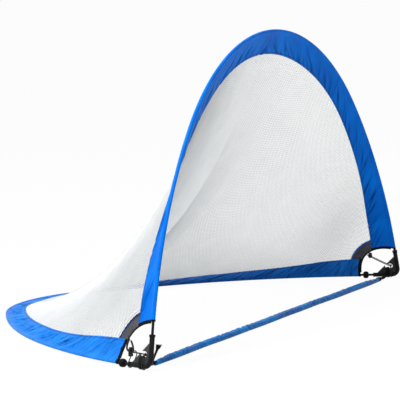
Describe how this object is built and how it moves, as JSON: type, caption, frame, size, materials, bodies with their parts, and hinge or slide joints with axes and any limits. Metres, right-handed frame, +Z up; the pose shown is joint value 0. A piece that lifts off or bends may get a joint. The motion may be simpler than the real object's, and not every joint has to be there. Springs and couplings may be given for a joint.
{
  "type": "soccer goal frame",
  "caption": "Pop-up soccer goal: two flexible arches in blue fabric sleeves, white net, steel corner elbows, ground bar and cord-lock ties.",
  "frame": {"origin": "on the ground under the middle of the ground bar, midway between the two corner elbows and 36 mm behind the line through the corners", "axes": "+X along the mouth to the right corner, +Y into the goal from the mouth to the rear arch, +Z up"},
  "size_m": [1.8356, 1.0183, 0.9324],
  "materials": {
    "sleeve_cloth": "satin woven polyester, blue",
    "corner_cloth": "woven polyester, dark grey",
    "black_tape": "woven edge tape, black",
    "net": "knotless fine mesh, white",
    "bar_cover": "satin woven polyester over a padded bar, blue",
    "webbing": "flat woven webbing, black",
    "tie_cord": "braided cord, dark grey",
    "elbow_steel": "black enamel, semi-gloss",
    "gusset_steel": "black enamel, semi-gloss",
    "rod": "pultruded fibreglass, black",
    "ferrule_metal": "plain drawn tube",
    "stopper_rubber": "moulded rubber, black",
    "lock_plastic": "moulded nylon, black",
    "lock_button": "moulded nylon, black",
    "spring_steel": "plain wire"
  },
  "bodies": {
    "base": {"elbow_left": "elbow_steel", "front_collar_left": "elbow_steel", "gusset_left": "gusset_steel", "front_rod_tail_left": "rod", "rear_rod_left": "rod", "stopper_left": "stopper_rubber", "corner_patch_left": "corner_cloth", "edge_binding_left": "black_tape", "tie_cord_left_a": "tie_cord", "tie_cord_left_b": "tie_cord", "tie_knot_left": "tie_cord", "tie_wrap_left": "tie_cord", "end_strap_left": "webbing", "elbow_right": "elbow_steel", "front_collar_right": "elbow_steel", "gusset_right": "gusset_steel", "front_rod_tail_right": "rod", "rear_rod_right": "rod", "stopper_right": "stopper_rubber", "corner_patch_right": "corner_cloth", "edge_binding_right": "black_tape", "tie_cord_right_a": "tie_cord", "tie_cord_right_b": "tie_cord", "tie_knot_right": "tie_cord", "tie_wrap_right": "tie_cord", "end_strap_right": "webbing", "strap_tail_left": "webbing", "tie_end_left": "tie_cord", "tie_loop_left": "tie_cord", "rear_ferrule": "ferrule_metal", "rear_sleeve_left": "sleeve_cloth", "rear_sleeve_middle": "sleeve_cloth", "rear_sleeve_right": "sleeve_cloth", "net": "net", "ground_bar": "bar_cover"},
    "front_arch": {"front_rod_left": "rod", "front_rod_right": "rod", "front_ferrule": "ferrule_metal", "front_sleeve_left": "sleeve_cloth", "front_sleeve_middle": "sleeve_cloth", "front_sleeve_right": "sleeve_cloth"},
    "lock_left": {"lock_body_left": "lock_plastic", "lock_spring_left": "spring_steel"},
    "button_left": {"lock_button_left": "lock_button"},
    "lock_right": {"lock_body_right": "lock_plastic", "lock_spring_right": "spring_steel"},
    "button_right": {"lock_button_right": "lock_button"}
  },
  "joints": [
    {"name": "arch_flex", "type": "hinge", "parent": "base", "child": "front_arch", "pos_m": [0, -0.0322, 0.10803], "axis": [-1, 0, 0], "range_deg": [-8, 28], "stiffness_Nm_per_rad": 15, "springref_deg": -0.34, "deforming": ["net", "corner_patch_left", "corner_patch_right", "edge_binding_left", "edge_binding_right"]},
    {"name": "lock_slide_left", "type": "slide", "parent": "base", "child": "lock_left", "axis": [-0.1559, -0.9876, -0.0173], "range_m": [-0.0035, 0]},
    {"name": "button_push_left", "type": "slide", "parent": "lock_left", "child": "button_left", "axis": [0.0027, 0.0171, -0.9998], "range_m": [0, 0.004], "stiffness_N_per_m": 120, "springref_m": -0.01, "deforming": ["lock_spring_left"]},
    {"name": "lock_slide_right", "type": "slide", "parent": "base", "child": "lock_right", "axis": [0.425, -0.7386, -0.5233], "range_m": [0, 0.02]},
    {"name": "button_push_right", "type": "slide", "parent": "lock_right", "child": "button_right", "axis": [0.9052, 0.3467, 0.2457], "range_m": [0, 0.004], "stiffness_N_per_m": 120, "springref_m": -0.01, "deforming": ["lock_spring_right"]}
  ]
}
